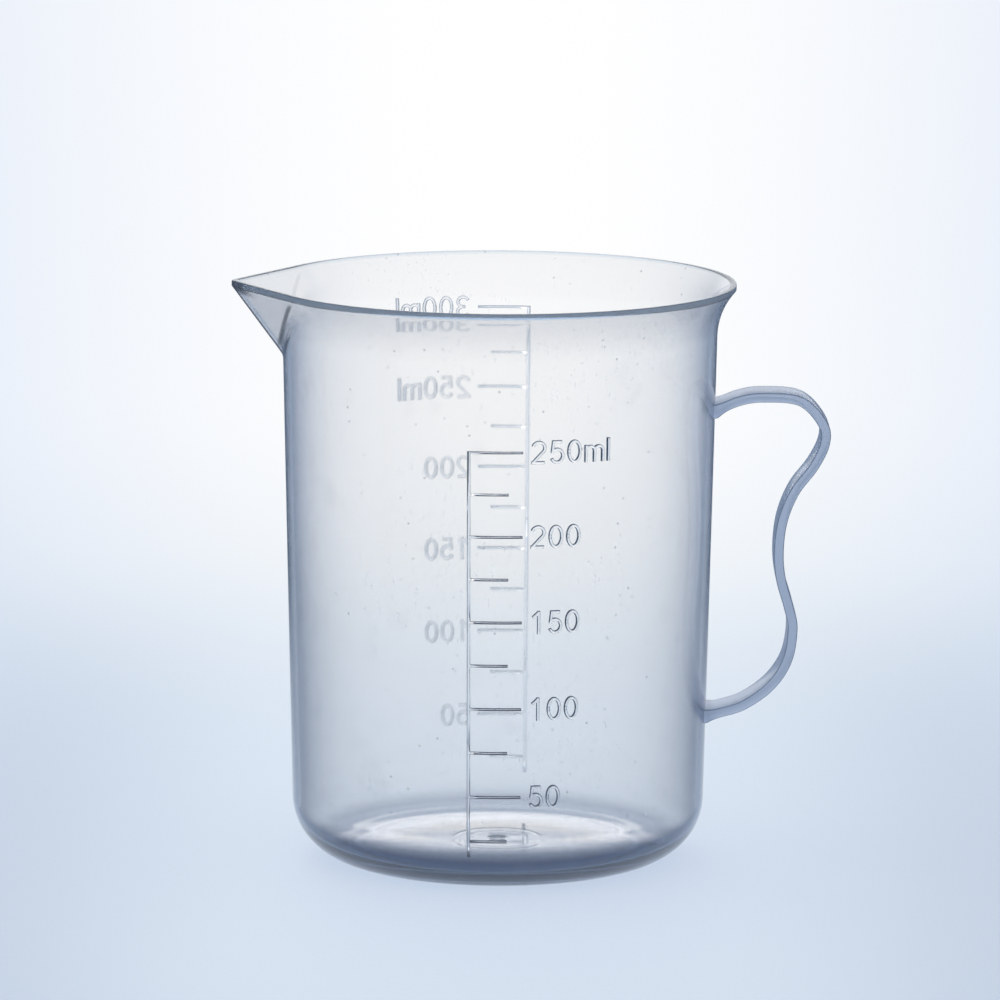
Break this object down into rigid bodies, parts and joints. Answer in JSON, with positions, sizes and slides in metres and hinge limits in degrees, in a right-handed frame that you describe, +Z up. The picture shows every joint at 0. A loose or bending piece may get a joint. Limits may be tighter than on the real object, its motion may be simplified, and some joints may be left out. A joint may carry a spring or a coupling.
{
  "type": "measuring cup",
  "caption": "Clear moulded measuring cup with a flared rim, a pouring spout, a looped strap handle and raised millilitre scales on its front and back.",
  "frame": {"origin": "middle of the flat base that the cup stands on, on the vessel's axis", "axes": "+Z up along the vessel's axis; +X towards the handle, so the spout points along -X; the front scale, to 250 ml, faces -Y and the back scale, to 300 ml, faces +Y"},
  "size_m": [0.0982, 0.0774, 0.0957],
  "materials": {
    "clear_wall": "clear natural polypropylene, slightly milky, glossy",
    "clear_strap": "clear natural polypropylene strap, milky where it is thick",
    "raised_marks": "same clear polypropylene, raised lines and characters with soft edges"
  },
  "bodies": {
    "root": {"cup_body": "clear_wall", "handle": "clear_strap", "back_100_digit_1": "raised_marks", "back_100_digit_2": "raised_marks", "back_100_digit_3": "raised_marks", "back_150_digit_1": "raised_marks", "back_150_digit_2": "raised_marks", "back_150_digit_3": "raised_marks", "back_200_digit_1": "raised_marks", "back_200_digit_2": "raised_marks", "back_200_digit_3": "raised_marks", "back_250_digit_1": "raised_marks", "back_250_digit_2": "raised_marks", "back_250_digit_3": "raised_marks", "back_250_letter_l": "raised_marks", "back_250_letter_m": "raised_marks", "back_300_digit_1": "raised_marks", "back_300_digit_2": "raised_marks", "back_300_digit_3": "raised_marks", "back_300_letter_l": "raised_marks", "back_300_letter_m": "raised_marks", "back_50_digit_1": "raised_marks", "back_50_digit_2": "raised_marks", "back_scale_rule": "raised_marks", "front_100_digit_1": "raised_marks", "front_100_digit_2": "raised_marks", "front_100_digit_3": "raised_marks", "front_150_digit_1": "raised_marks", "front_150_digit_2": "raised_marks", "front_150_digit_3": "raised_marks", "front_200_digit_1": "raised_marks", "front_200_digit_2": "raised_marks", "front_200_digit_3": "raised_marks", "front_250_digit_1": "raised_marks", "front_250_digit_2": "raised_marks", "front_250_digit_3": "raised_marks", "front_250_letter_l": "raised_marks", "front_250_letter_m": "raised_marks", "front_50_digit_1": "raised_marks", "front_50_digit_2": "raised_marks", "front_scale_rule": "raised_marks"}
  },
  "joints": []
}
